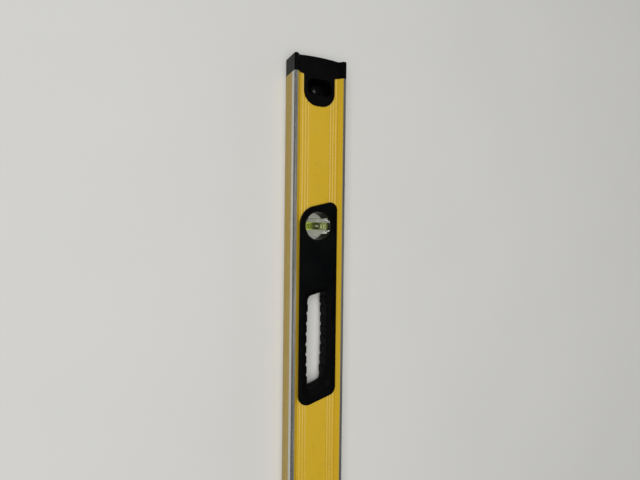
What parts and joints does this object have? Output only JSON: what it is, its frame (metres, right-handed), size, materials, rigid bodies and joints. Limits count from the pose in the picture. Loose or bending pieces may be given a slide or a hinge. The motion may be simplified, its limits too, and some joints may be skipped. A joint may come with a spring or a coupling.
{
  "type": "spirit level",
  "caption": "Box-beam spirit level with moulded hand-holds, plumb vials near both ends, a middle vial, and end caps with hang holes.",
  "frame": {"origin": "middle of the underside, which is the back face that the level lies on", "axes": "+X along the beam, +Y across its width towards the working edge with the middle vial's reading window, +Z out of the front face"},
  "size_m": [1.2, 0.06, 0.025],
  "materials": {
    "painted_beam": "yellow powder coat, with bare milled strips along the front corners",
    "cap_plastic": "fine moulded texture",
    "frame_plastic": "satin black",
    "grip_rubber": "soft matt black",
    "ring_plastic": "satin black",
    "clear_block": "clear acrylic with sawn ends",
    "vial_plug": "lime translucent",
    "vial_fluid": "lime fluid",
    "vial_lines": "printed dark lines",
    "air_bubble": "clear",
    "screw_steel": "blackened steel"
  },
  "bodies": {
    "level": {"beam": "painted_beam", "left_back_shell": "frame_plastic", "left_end_cap": "cap_plastic", "left_front_shell": "frame_plastic", "left_grip_sleeve": "grip_rubber", "left_plumb_ring": "ring_plastic", "left_plumb_vial_block": "clear_block", "left_plumb_vial_fluid": "vial_fluid", "left_plumb_vial_lines": "vial_lines", "left_plumb_vial_plug": "vial_plug", "left_shell_screws": "screw_steel", "middle_back_shell": "frame_plastic", "middle_front_shell": "frame_plastic", "middle_shell_screws": "screw_steel", "middle_vial_block": "clear_block", "middle_vial_fluid": "vial_fluid", "middle_vial_lines": "vial_lines", "middle_vial_plug": "vial_plug", "right_back_shell": "frame_plastic", "right_end_cap": "cap_plastic", "right_front_shell": "frame_plastic", "right_grip_sleeve": "grip_rubber", "right_plumb_ring": "ring_plastic", "right_plumb_vial_block": "clear_block", "right_plumb_vial_fluid": "vial_fluid", "right_plumb_vial_lines": "vial_lines", "right_plumb_vial_plug": "vial_plug", "right_shell_screws": "screw_steel"},
    "left_bubble": {"left_plumb_bubble": "air_bubble"},
    "middle_bubble_body": {"middle_bubble": "air_bubble"},
    "right_bubble": {"right_plumb_bubble": "air_bubble"}
  },
  "joints": [
    {"name": "left_bubble_slide", "type": "slide", "parent": "level", "child": "left_bubble", "axis": [0, 1, 0], "range_m": [-0.005, 0.005], "stiffness_N_per_m": 2},
    {"name": "middle_bubble_slide", "type": "slide", "parent": "level", "child": "middle_bubble_body", "axis": [1, 0, 0], "range_m": [-0.015, 0.015], "stiffness_N_per_m": 2},
    {"name": "right_bubble_slide", "type": "slide", "parent": "level", "child": "right_bubble", "axis": [0, 1, 0], "range_m": [-0.005, 0.005], "stiffness_N_per_m": 2}
  ]
}
